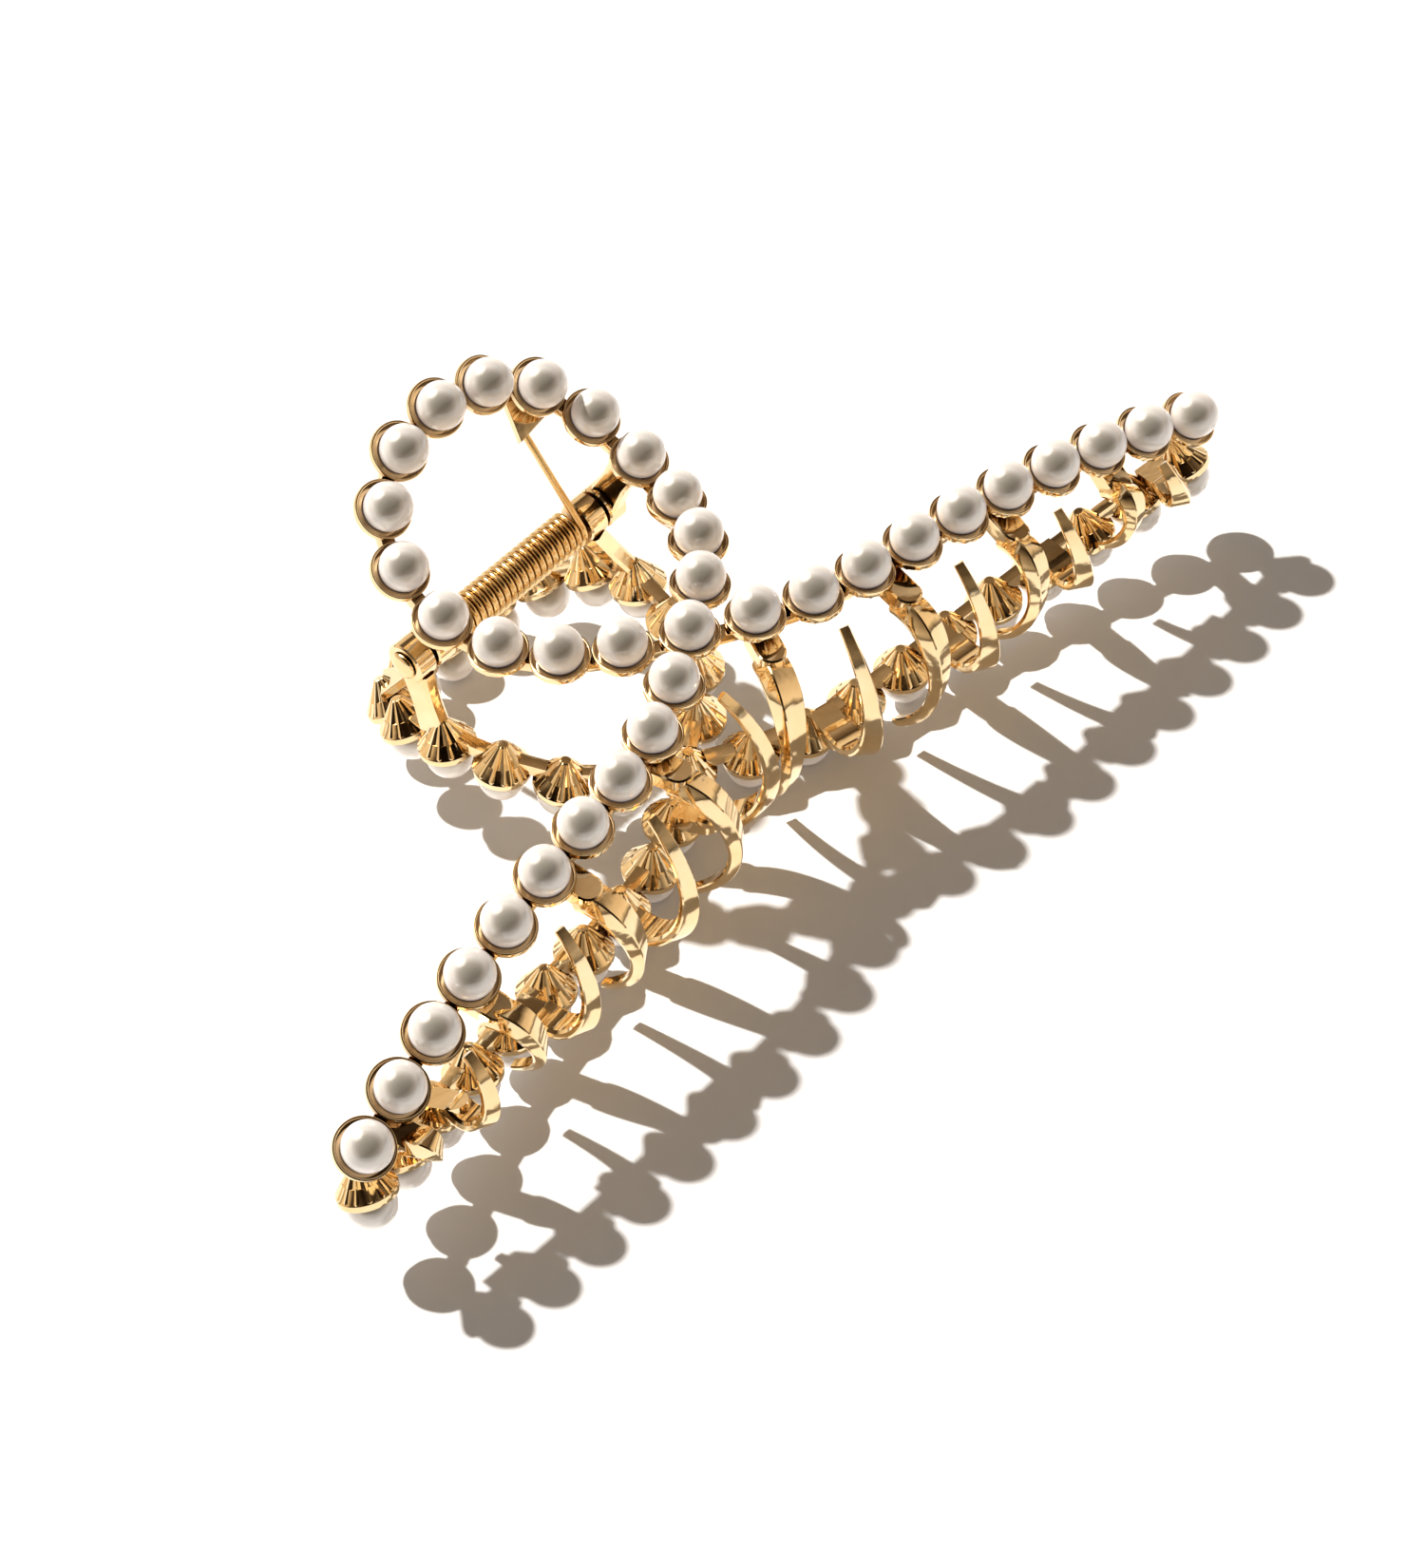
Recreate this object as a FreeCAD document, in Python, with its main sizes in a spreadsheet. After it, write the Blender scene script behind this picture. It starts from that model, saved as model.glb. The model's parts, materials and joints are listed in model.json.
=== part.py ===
"""Claw hair clip: two cast jaws on one hinge pin, a torsion spring and 72 imitation pearls.

Every jaw is drawn in the clip's own frame: X runs along the hinge pin, -Y is the outer face
of the front jaw, +Z points to the handles, and the origin is the middle of the hinge axis.
The back jaw is the same casting turned half a turn about Z.  The finished clip is then laid
on its back jaw and stood on the plane Z = 0, with the origin under the middle of its outline.
"""
import FreeCAD
import Part
import math
import os

import Sketcher

Vector = FreeCAD.Vector
Rotation = FreeCAD.Rotation
Placement = FreeCAD.Placement
X_AXIS = Vector(1, 0, 0)
Y_AXIS = Vector(0, 1, 0)
Z_AXIS = Vector(0, 0, 1)

doc = FreeCAD.newDocument("claw_clip")

# ---------------------------------------------------------------- driving dimensions
SIZES = [
    ("pearl_radius", 2.5, "imitation pearl, 5 mm across"),
    ("pearl_clearance", 0.005, "gap that any bar or strap leaves round a pearl"),
    ("rim_radius", 3.05, "outside of a pearl cup's rim"),
    ("rim_land", 0.27, "width of the raised outer ring"),
    ("rim_band", 0.6, "height of the straight band under the rim"),
    ("ledge_drop", 0.2, "step from the rim down to the inner ledge"),
    ("ledge_width", 0.33, "flat of the inner ledge"),
    ("cup_depth", 3.8, "rim plane to the blunt point of the cone"),
    ("cup_back_radius", 0.7, "blunt point of the cone"),
    ("pearl_lift", 1.0, "pearl centre above the rim plane"),
    ("bore_radius", 1.52, "glue bore under the pearl"),
    ("bore_depth", 0.8, "depth of the glue bore under its upper edge"),
    ("glue_radius", 1.5, "bead of glue in the bore"),
    ("bridge_width", 1.5, "bar between two cups, across the strand"),
    ("bridge_height", 1.4, "bar between two cups, along their axes"),
    ("bridge_level", 1.7, "middle of the bar under the rim plane"),
    ("bridge_start", 1.6, "end of the bar from the cup's axis, inside its wall"),
    ("root_level", 2.6, "where straps and pads join a cup, under the rim plane"),
    ("arm_pearls", 10, "pearls on one arm"),
    ("loop_steps", 8, "pearl steps from the crossing to the crown"),
    ("first_gap", 6.8, "pearl spacing beside the crossing pearl"),
    ("tooth_step", 2.4, "tooth spacing in pearl steps"),
    ("tooth_first_right", 1.05, "first tooth on the right arm, in pearl steps"),
    ("tooth_first_left", 2.25, "first tooth on the left arm, in pearl steps"),
    ("tooth_depth", 9.6, "drop of the first tooth below the strand"),
    ("tooth_reach", 11.0, "how far the first tooth passes the middle plane"),
    ("tooth_root_width", 3.3, "tooth width where it leaves the tab"),
    ("tooth_root_height", 2.0, "tooth thickness where it leaves the tab"),
    ("tooth_tip_width", 1.2, "tooth width at its blunt end"),
    ("tooth_tip_height", 1.0, "tooth thickness at its blunt end"),
    ("tab_radius", 1.5, "rounded end of the tab that carries a tooth"),
    ("tab_drop", 3.5, "middle of the tab's round end below the strand"),
    ("root_drop", 2.9, "start of a tooth below the strand"),
    ("tab_level", 1.85, "face of the tab under the rim plane"),
    ("tab_thickness", 1.9, "tab along the cup's axis"),
    ("pin_radius", 0.9, "hinge pin"),
    ("pin_head_radius", 1.5, "rivet head"),
    ("pin_head_height", 0.6, "rivet head"),
    ("pin_clearance", 0.05, "running clearance around the pin"),
    ("eye_radius", 2.3, "hinge eye"),
    ("lug_thickness", 2.4, "hinge eye along the pin"),
    ("lug_inner", 11.3, "middle of the inner hinge eye from the middle plane"),
    ("lug_outer", 14.1, "middle of the outer hinge eye from the middle plane"),
    ("strap_step", 4.15, "foot of the strap, in pearl steps up the loop"),
    ("strap_width", 3.5, "strap from a hinge eye to the side of the loop"),
    ("strap_thickness", 1.8, "the same strap along the pin"),
    ("pad_step", 6, "cup that carries the spring pad, in pearl steps up the loop"),
    ("pad_width", 7.0, "spring pad at its root"),
    ("pad_length", 5.4, "spring pad, cup's axis to point"),
    ("pad_thickness", 1.2, "spring pad"),
    ("wire_radius", 0.4, "spring wire"),
    ("coil_radius", 1.85, "spring coil, to the wire's centre"),
    ("coil_turns", 16, "whole turns of the spring"),
    ("coil_half_length", 9.3, "middle of the spring to its last turn"),
    ("lean", 79, "turn about the hinge axis that lays the clip on its back jaw, degrees"),
    ("hinge_forward", 14.35, "hinge axis from the middle of the outline, towards the handles"),
    ("hinge_height", 19.91, "hinge axis above the plane that the lowest pearls stand on"),
]

# Stations of one half strand of pearls, from the crown of the loop through the crossing to
# the end of the arm on the other side: name, across, outward, up, face tilt in degrees.
STATIONS = [
    ("crown", 0.0, 19.4, 8.7, 39),
    ("shoulder", 11.5, 15.9, 5.0, 38),
    ("side", 14.4, 10.9, -4.8, 20),
    ("waist", 10.3, 11.1, -16.3, 5),
    ("crossing", 0.0, 12.1, -24.3, 0),
    ("arm_a", -11.6, 11.9, -30.0, 0),
    ("arm_b", -24.2, 11.1, -32.5, 5),
    ("arm_c", -36.9, 9.8, -34.4, 10),
    ("arm_d", -49.3, 7.7, -36.9, 18),
    ("tip", -61.2, 4.7, -39.8, 25),
]

sheet = doc.addObject("Spreadsheet::Sheet", "sizes")


def write_row(row, name, value, note):
    """One driving dimension: its name, its value with an alias, and what it is."""
    sheet.set("A%d" % row, name)
    sheet.set("B%d" % row, str(value))
    sheet.set("C%d" % row, note)
    sheet.setAlias("B%d" % row, name)


row_number = 1
for size_name, size_value, size_note in SIZES:
    write_row(row_number, size_name, size_value, size_note)
    row_number += 1
for station, across, outward, up, tilt in STATIONS:
    write_row(row_number, station + "_across", across, "station of the strand")
    write_row(row_number + 1, station + "_outward", outward, "station of the strand")
    write_row(row_number + 2, station + "_up", up, "station of the strand")
    write_row(row_number + 3, station + "_tilt", tilt, "face tilt, degrees")
    row_number += 4
doc.recompute()


def size(name):
    """A driving dimension, read back from the sheet."""
    return float(getattr(sheet, name))


HINGE_PLACE = Vector(0, size("hinge_forward"), size("hinge_height"))
LIE_DOWN = Placement(HINGE_PLACE, Rotation(X_AXIS, -size("lean")))
HALF_TURN = Placement(Vector(), Rotation(Z_AXIS, 180))
JAW_PLACES = {"front": LIE_DOWN, "back": LIE_DOWN.multiply(HALF_TURN)}


# ---------------------------------------------------------------- sketch helper
def closed_outline(sketch, corners):
    """Draws a closed outline.  A corner is (x, y), each an expression or None for zero."""
    count = len(corners)
    guess = []
    for index, (x_text, y_text) in enumerate(corners):
        x_value = evaluate(x_text)
        y_value = evaluate(y_text)
        guess.append(Vector(x_value, y_value, 0))
    for index in range(count):
        sketch.addGeometry(Part.LineSegment(guess[index], guess[(index + 1) % count]), False)
    for index in range(count):
        sketch.addConstraint(Sketcher.Constraint("Coincident", index, 2, (index + 1) % count, 1))
    for index, (x_text, y_text) in enumerate(corners):
        bind_corner(sketch, index, "DistanceX", x_text, guess[index].x, -2)
        bind_corner(sketch, index, "DistanceY", y_text, guess[index].y, -1)


def bind_corner(sketch, index, kind, text, value, axis):
    """Ties one coordinate of a corner to the sheet, or to the sketch axis when it is zero."""
    if text is None:
        sketch.addConstraint(Sketcher.Constraint("PointOnObject", index, 1, axis))
        return
    number = sketch.addConstraint(Sketcher.Constraint(kind, -1, 1, index, 1, value))
    sketch.setExpression("Constraints[%d]" % number, text)


def evaluate(text):
    """The present value of an expression over the sheet's cells, for a first guess."""
    if text is None:
        return 0.0
    return float(sheet.evalExpression(text.replace("sizes.", "")))


def new_body(name):
    """An empty body and its XZ plane."""
    body = doc.addObject("PartDesign::Body", name)
    planes = [item for item in body.Origin.OriginFeatures if item.Role == "XZ_Plane"]
    return body, planes[0]


def turned_body(name, corners, axis_name):
    """A body of revolution from an outline on the XZ plane."""
    body, plane = new_body(name)
    sketch = body.newObject("Sketcher::SketchObject", name + "_outline")
    sketch.AttachmentSupport = [(plane, "")]
    sketch.MapMode = "FlatFace"
    closed_outline(sketch, corners)
    turned = body.newObject("PartDesign::Revolution", name + "_turned")
    turned.Profile = sketch
    turned.ReferenceAxis = (sketch, [axis_name])
    turned.Angle = 360
    body.Tip = turned
    doc.recompute()
    return body


# ---------------------------------------------------------------- the strand of pearls
def strand_curve():
    """The curve through the pearl centres, from the crown to the end of the left arm.

    It starts two stations before the crown, on the mirrored half, so that it runs level there.
    """
    points = []
    for station in STATIONS:
        name = station[0]
        points.append(Vector(size(name + "_across"), -size(name + "_outward"), size(name + "_up")))
    lead_in = [Vector(-point.x, point.y, point.z) for point in (points[2], points[1])]
    curve = Part.BSplineCurve()
    curve.interpolate(lead_in + points)
    marks = [curve.parameter(point) for point in points]
    return curve, marks


STRAND, STATION_MARKS = strand_curve()
STATION_TILTS = [size(station[0] + "_tilt") for station in STATIONS]
CROSSING_MARK = STATION_MARKS[4]
LOOP_LENGTH = STRAND.length(STATION_MARKS[0], CROSSING_MARK)
ARM_LENGTH = STRAND.length(CROSSING_MARK, STATION_MARKS[-1])
LOOP_STEPS = int(size("loop_steps"))
ARM_PEARLS = int(size("arm_pearls"))
FIRST_GAP = size("first_gap")
LOOP_PITCH = (LOOP_LENGTH - FIRST_GAP) / (LOOP_STEPS - 1)
ARM_PITCH = (ARM_LENGTH - FIRST_GAP) / (ARM_PEARLS - 1)


def distance_at(step):
    """Distance from the crossing pearl of a place `step` pearls away, below zero on the loop."""
    pitch = ARM_PITCH if step >= 0 else LOOP_PITCH
    count = abs(step)
    distance = FIRST_GAP * min(count, 1) + pitch * max(count - 1, 0)
    return math.copysign(distance, step)


def mark_at(distance):
    """Curve parameter at a distance from the crossing: above zero on the arm, below on the loop."""
    low, high = (CROSSING_MARK, STATION_MARKS[-1])
    if distance < 0:
        low, high = (STATION_MARKS[0], CROSSING_MARK)
    for halving in range(40):
        middle = (low + high) / 2
        length = STRAND.length(min(middle, CROSSING_MARK), max(middle, CROSSING_MARK))
        if (length if middle > CROSSING_MARK else -length) < distance:
            low = middle
        else:
            high = middle
    return (low + high) / 2


def tilt_at(mark):
    """Face tilt at a place on the strand, straight-line between the stations."""
    for index in range(len(STATION_MARKS) - 1):
        low = STATION_MARKS[index]
        high = STATION_MARKS[index + 1]
        if mark <= high or index == len(STATION_MARKS) - 2:
            share = (mark - low) / (high - low)
            return STATION_TILTS[index] + share * (STATION_TILTS[index + 1] - STATION_TILTS[index])
    return STATION_TILTS[-1]


def strand_frame(step, side):
    """Centre, run direction and outward direction, `step` pearls from the crossing.

    Steps above zero go out along the arm, steps below zero go up the loop to the crown.
    Side -1 is the half that ends in the left arm, side +1 is its mirror image.
    """
    mark = mark_at(distance_at(step))
    centre = STRAND.value(mark)
    run = STRAND.tangent(mark)[0]
    run.normalize()
    tilt = math.radians(tilt_at(mark))
    face = Vector(0, -math.cos(tilt), -math.sin(tilt))
    outward = face - run * face.dot(run)
    outward.normalize()
    if side > 0:
        centre.x = -centre.x
        run.x = -run.x
        outward.x = -outward.x
    return centre, run, outward


def cup_placement(step, side):
    """Places a cup, drawn with its cone's small end at the origin and opening along +Z."""
    centre, run, outward = strand_frame(step, side)
    across = outward.cross(run)
    turn = Rotation(run, across, outward, "ZXY")
    return Placement(centre - outward * (size("cup_depth") + size("pearl_lift")), turn)


# Places of all 36 cups of one jaw: (group, step, side).
def cup_places():
    """Every cup of a jaw with the name of its group of pearls."""
    places = [("crossing", 0, -1), ("crown", -LOOP_STEPS, -1)]
    for step in range(1, ARM_PEARLS + 1):
        places.append(("left_arm", step, -1))
        places.append(("right_arm", step, 1))
    for step in range(1, LOOP_STEPS):
        places.append(("loop_right", -step, -1))
        places.append(("loop_left", -step, 1))
    return places


CUPS = cup_places()


# ---------------------------------------------------------------- pieces of a jaw casting
def cup_outline():
    """Half section of a pearl cup: cone, rim band, raised ring, ledge, seat and glue bore."""
    rim_height = "sizes.cup_depth"
    ring_inner = "sizes.rim_radius - sizes.rim_land"
    ledge_height = "sizes.cup_depth - sizes.ledge_drop"
    ledge_inner = "sizes.rim_radius - sizes.rim_land - sizes.ledge_width"
    seat_height = ("sizes.cup_depth + sizes.pearl_lift"
                   " - sqrt(sizes.pearl_radius ^ 2 - sizes.glue_radius ^ 2)")
    return [
        (None, None),
        ("sizes.cup_back_radius", None),
        ("sizes.rim_radius", rim_height + " - sizes.rim_band"),
        ("sizes.rim_radius", rim_height),
        (ring_inner, rim_height),
        (ring_inner, ledge_height),
        (ledge_inner, ledge_height),
        ("sizes.bore_radius", seat_height),
        ("sizes.bore_radius", seat_height + " - sizes.bore_depth"),
        (None, seat_height + " - sizes.bore_depth"),
    ]


def point_below_rim(step, side, depth):
    """Point on a cup's axis, `depth` under its rim plane."""
    centre, run, outward = strand_frame(step, side)
    return centre - outward * (size("pearl_lift") + depth)


def bar_between(start, end, width, height, up):
    """Straight bar between two points: width across, height as near `up` as it can be."""
    along = end - start
    bar = Part.makeBox(along.Length, width, height, Vector(0, -width / 2, -height / 2))
    bar.Placement = Placement(start, Rotation(along, up.cross(along), up, "XZY"))
    return bar


def bridges(side):
    """Short bars from each cup's wall to the next one's, crown to arm's end."""
    level = size("bridge_level")
    bars = []
    for step in range(-LOOP_STEPS, ARM_PEARLS):
        first = point_below_rim(step, side, level)
        second = point_below_rim(step + 1, side, level)
        along = second - first
        along.normalize()
        outward = strand_frame(step + 0.5, side)[2]
        start = first + along * size("bridge_start")
        end = second - along * size("bridge_start")
        bars.append(bar_between(start, end, size("bridge_width"), size("bridge_height"), outward))
    return bars


def ridged_section(centre, along, side_way, width, height):
    """A tooth's cross-section: flat on the inside, a low ridge on the outside."""
    outside = along.cross(side_way)
    outside.normalize()
    half = side_way * (width / 2)
    corners = [
        centre + half - outside * (height * 0.5),
        centre + half + outside * (height * 0.1),
        centre + outside * (height * 0.5),
        centre - half + outside * (height * 0.1),
        centre - half - outside * (height * 0.5),
    ]
    return Part.makePolygon(corners + [corners[0]])


def blend(start, end, share):
    """Straight-line mix of two numbers."""
    return start + (end - start) * share


def cross_directions(step, side):
    """Inward (towards the other jaw) and downward, both square to the strand's run."""
    run = strand_frame(step, side)[1]
    inward = Y_AXIS - run * run.y
    inward.normalize()
    down = run.cross(inward)
    if down.z > 0:
        down = down * -1
    return inward, down


def tab_down(step, side):
    """Downward in the plane of the cups' rims, square to the strand's run."""
    centre, run, outward = strand_frame(step, side)
    down = run.cross(outward)
    if down.z > 0:
        down = down * -1
    return down


# A tooth starts at this share of its tab's thickness.
TOOTH_ROOT_DEPTH = 0.85
# A tooth's control points after its root: share of its reach, share of its drop.
TOOTH_ELBOW = (0.12, 1.0)
TOOTH_BELLY = (0.62, 1.5)
TOOTH_TIP = (1.0, 0.5)
TOOTH_SECTIONS = 7
# Teeth at the end of the arm lose these shares of drop and reach.
DROP_LOSS = 0.6
REACH_LOSS = 0.82


def tooth(step, side):
    """One claw tooth, hooked under the clip towards the other jaw."""
    strand = strand_frame(step, side)[0]
    inward, down = cross_directions(step, side)
    side_way = inward.cross(down)
    fall = (strand.x / size("tip_across")) ** 2
    drop = size("tooth_depth") * (1 - DROP_LOSS * fall)
    reach = size("tooth_reach") * (1 - REACH_LOSS * fall) - strand.y
    root_level = size("tab_level") + size("tab_thickness") * TOOTH_ROOT_DEPTH
    root = point_below_rim(step, side, root_level) + tab_down(step, side) * size("root_drop")
    curve = Part.BezierCurve()
    poles = [root]
    for reach_share, drop_share in (TOOTH_ELBOW, TOOTH_BELLY, TOOTH_TIP):
        poles.append(strand + inward * (reach_share * reach) + down * (drop_share * drop))
    curve.setPoles(poles)
    sections = []
    for index in range(TOOTH_SECTIONS):
        share = index / (TOOTH_SECTIONS - 1)
        width = blend(size("tooth_root_width"), size("tooth_tip_width"), share)
        height = blend(size("tooth_root_height"), size("tooth_tip_height"), share)
        along = curve.tangent(share)[0]
        sections.append(ridged_section(curve.value(share), along, side_way, width, height))
    return Part.makeLoft(sections, True, False)


def tooth_tab(step, side):
    """Tongue under the cups that carries a tooth: square at the bridge, round at its free end."""
    centre, run, outward = strand_frame(step, side)
    thickness = size("tab_thickness")
    back = point_below_rim(step, side, size("tab_level") + thickness)
    radius = size("tab_radius")
    low = back + tab_down(step, side) * size("tab_drop")
    plate = Part.Face(Part.makePolygon([
        back - run * radius,
        back + run * radius,
        low + run * radius,
        low - run * radius,
        back - run * radius,
    ]))
    return plate.extrude(outward * thickness).fuse(Part.makeCylinder(radius, thickness, low, outward))


def hinge_lug(middle):
    """A hinge eye centred on the pin and the strap that ties it to the side of the loop."""
    side = -1 if middle > 0 else 1
    thick = size("lug_thickness")
    radius = size("eye_radius")
    eye = Part.makeCylinder(radius, thick, Vector(middle - thick / 2, 0, 0), X_AXIS)
    foot_level = size("bridge_level") + size("bridge_height") / 3
    foot = point_below_rim(-size("strap_step"), side, foot_level)
    towards = Vector(0, foot.y, foot.z)
    towards.normalize()
    start = Vector(middle, 0, 0) + towards * (radius * 0.75)
    strap = bar_between(start, foot, size("strap_width"), size("strap_thickness"), X_AXIS)
    return eye.fuse(strap)


def pad_frame():
    """Where the spring pad hangs: root behind its cup, along the loop, outward, down."""
    step = -size("pad_step")
    root = point_below_rim(step, -1, size("root_level"))
    centre, run, outward = strand_frame(step, -1)
    return root, run, outward, tab_down(step, -1)


def spring_pad():
    """Small pointed pad inside the loop's shoulder that the spring leg bears on."""
    root, run, outward, down = pad_frame()
    half = size("pad_width") / 2
    start = root - outward * (size("pad_thickness") / 2)
    face = Part.makePolygon([
        start + run * half,
        start - run * half,
        start + down * size("pad_length"),
        start + run * half,
    ])
    return Part.Face(face).extrude(outward * size("pad_thickness"))


def pad_face_point():
    """End of the spring's front leg, just clear of the pad's inner face."""
    root, run, outward, down = pad_frame()
    gap = 0.05
    stand_off = size("pad_thickness") / 2 + size("wire_radius") + gap
    return root + down * (size("pad_length") * 0.6) - outward * stand_off


def jaw_casting(cup_shape):
    """The whole casting of one jaw in the clip's frame."""
    pieces = []
    for group, step, side in CUPS:
        cup = cup_shape.copy()
        cup.Placement = cup_placement(step, side)
        pieces.append(cup)
    pieces.extend(bridges(1))
    pieces.extend(bridges(-1))
    for tooth_index in range(4):
        right = size("tooth_first_right") + tooth_index * size("tooth_step")
        left = size("tooth_first_left") + tooth_index * size("tooth_step")
        for step, side in ((right, 1), (left, -1)):
            pieces.append(tooth(step, side))
            pieces.append(tooth_tab(step, side))
    pieces.append(hinge_lug(size("lug_outer")))
    pieces.append(hinge_lug(-size("lug_inner")))
    pieces.append(spring_pad())
    casting = pieces[0].multiFuse(pieces[1:])
    clear_radius = size("pearl_radius") + size("pearl_clearance")
    pearls = []
    for group, step, side in CUPS:
        pearls.append(Part.makeSphere(clear_radius, strand_frame(step, side)[0]))
    casting = casting.cut(Part.makeCompound(pearls))
    length = 2 * size("lug_outer") + 4 * size("lug_thickness")
    bore_radius = size("pin_radius") + size("pin_clearance")
    bore = Part.makeCylinder(bore_radius, length, Vector(-length / 2, 0, 0), X_AXIS)
    return casting.cut(bore)


def add_feature(name, shape, placement):
    """A document object that holds a computed shape."""
    feature = doc.addObject("Part::Feature", name)
    feature.Label = name
    feature.Shape = shape
    feature.Placement = placement
    return feature


# ---------------------------------------------------------------- sub-parts
cup_body = turned_body("cup_blank", cup_outline(), "V_Axis")

pin_reach = "(sizes.lug_outer + sizes.lug_thickness / 2 + 0.15)"
pin_end = pin_reach + " + sizes.pin_head_height"
pin_body = turned_body("hinge_pin", [
    (None, None),
    (pin_end, None),
    (pin_end, "sizes.pin_head_radius"),
    (pin_reach, "sizes.pin_head_radius"),
    (pin_reach, "sizes.pin_radius"),
    (None, "sizes.pin_radius"),
], "H_Axis")
pin_mirror = pin_body.newObject("PartDesign::Mirrored", "hinge_pin_other_end")
pin_mirror.Originals = [pin_body.Tip]
pin_mirror.MirrorPlane = ([item for item in pin_body.Origin.OriginFeatures
                           if item.Role == "YZ_Plane"][0], [""])
pin_body.Tip = pin_mirror
pin_body.Placement = LIE_DOWN

subparts = [pin_body]
casting_shape = jaw_casting(cup_body.Shape)
for jaw, place in JAW_PLACES.items():
    subparts.append(add_feature(jaw + "_jaw", casting_shape, place))


def pearl_group(jaw, group):
    """The pearls of one stretch of a strand, as separate balls."""
    balls = []
    for cup_group, step, side in CUPS:
        if cup_group != group:
            continue
        ball = doc.addObject("Part::Sphere", "ball")
        ball.setExpression("Radius", "sizes.pearl_radius")
        ball.Placement = Placement(strand_frame(step, side)[0], Rotation())
        balls.append(ball)
    if len(balls) == 1:
        balls[0].Label = jaw + "_pearls_" + group
        balls[0].Placement = JAW_PLACES[jaw].multiply(balls[0].Placement)
        return balls[0]
    bunch = doc.addObject("Part::Compound", jaw + "_pearls_" + group)
    bunch.Links = balls
    bunch.Placement = JAW_PLACES[jaw]
    return bunch


def glue_beads(groups):
    """Beads of glue under the pearls of some stretches, in the clip's frame."""
    beads = []
    centre_height = size("cup_depth") + size("pearl_lift")
    seat = centre_height - math.sqrt(size("pearl_radius") ** 2 - size("glue_radius") ** 2)
    bottom = seat - size("bore_depth")
    plug = Part.makeCylinder(size("glue_radius"), size("bore_depth") - 0.03, Vector(0, 0, bottom))
    bead = plug.cut(Part.makeSphere(size("pearl_radius") + 0.005, Vector(0, 0, centre_height)))
    for group, step, side in CUPS:
        if group in groups:
            copy = bead.copy()
            copy.Placement = cup_placement(step, side)
            beads.append(copy)
    return Part.makeCompound(beads)


GLUE_STRETCHES = {
    "left_arm": ["left_arm"],
    "right_arm": ["right_arm"],
    "loop": ["loop_left", "loop_right", "crown", "crossing"],
}
PEARL_GROUPS = ["left_arm", "right_arm", "loop_left", "loop_right", "crossing", "crown"]
for jaw, place in JAW_PLACES.items():
    for group in PEARL_GROUPS:
        subparts.append(pearl_group(jaw, group))
    for stretch, groups in GLUE_STRETCHES.items():
        subparts.append(add_feature(jaw + "_glue_" + stretch, glue_beads(groups), place))


def spring_shape():
    """The torsion spring: back leg, close coil round the pin, front leg."""
    foot = pad_face_point()
    radius = size("coil_radius")
    half = size("coil_half_length")
    slope = math.atan2(foot.z, -foot.y) + math.asin(radius / math.hypot(foot.y, foot.z))
    sweep = 2 * math.pi * size("coil_turns") + 2 * slope
    start = slope - math.pi / 2
    coil = []
    points_per_turn = 16
    count = int(points_per_turn * sweep / (2 * math.pi))
    for index in range(count + 1):
        share = index / count
        angle = start - sweep * share
        x_place = half * (2 * share - 1)
        coil.append(Vector(x_place, radius * math.cos(angle), radius * math.sin(angle)))
    leg_pieces = 5
    front_leg = []
    back_leg = []
    for index in range(1, leg_pieces + 1):
        point = coil[-1] + (foot - coil[-1]) * (index / leg_pieces)
        front_leg.append(point)
        back_leg.insert(0, Vector(-point.x, -point.y, point.z))
    curve = Part.BSplineCurve()
    curve.interpolate(back_leg + coil + front_leg)
    path = Part.Wire([curve.toShape()])
    first = back_leg[0]
    ring = Part.Wire([Part.makeCircle(size("wire_radius"), first, back_leg[1] - first)])
    return path.makePipeShell([ring], True, False)


subparts.append(add_feature("torsion_spring", spring_shape(), LIE_DOWN))

doc.recompute()
failed = []
for item in doc.Objects:
    if "Invalid" in item.State or "Error" in item.State:
        failed.append(item.Name + " state")
for item in subparts:
    if item.Shape.isNull() or not item.Shape.isValid():
        failed.append(item.Label + " shape")
if failed:
    raise RuntimeError("failed: " + ", ".join(failed))

os.makedirs("parts", exist_ok=True)
for item in subparts:
    item.Shape.exportStep(os.path.join("parts", item.Label + ".step"))
    print(item.Label, len(item.Shape.Solids), round(item.Shape.Volume, 1))
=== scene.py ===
"""Looks of the claw hair clip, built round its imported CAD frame.

Jaw geometry is drawn once, in millimetres, in the clip's own frame: X along the hinge pin, -Y the
outer face of the front jaw, +Z the handles, origin on the hinge axis.  The places of all the cups
are read from the CAD pearls and their glue beads, and the back jaw is the same drawing turned half
a turn about Z.
"""
import json
import math

import bmesh
import bpy
from mathutils import Matrix, Vector


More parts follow.
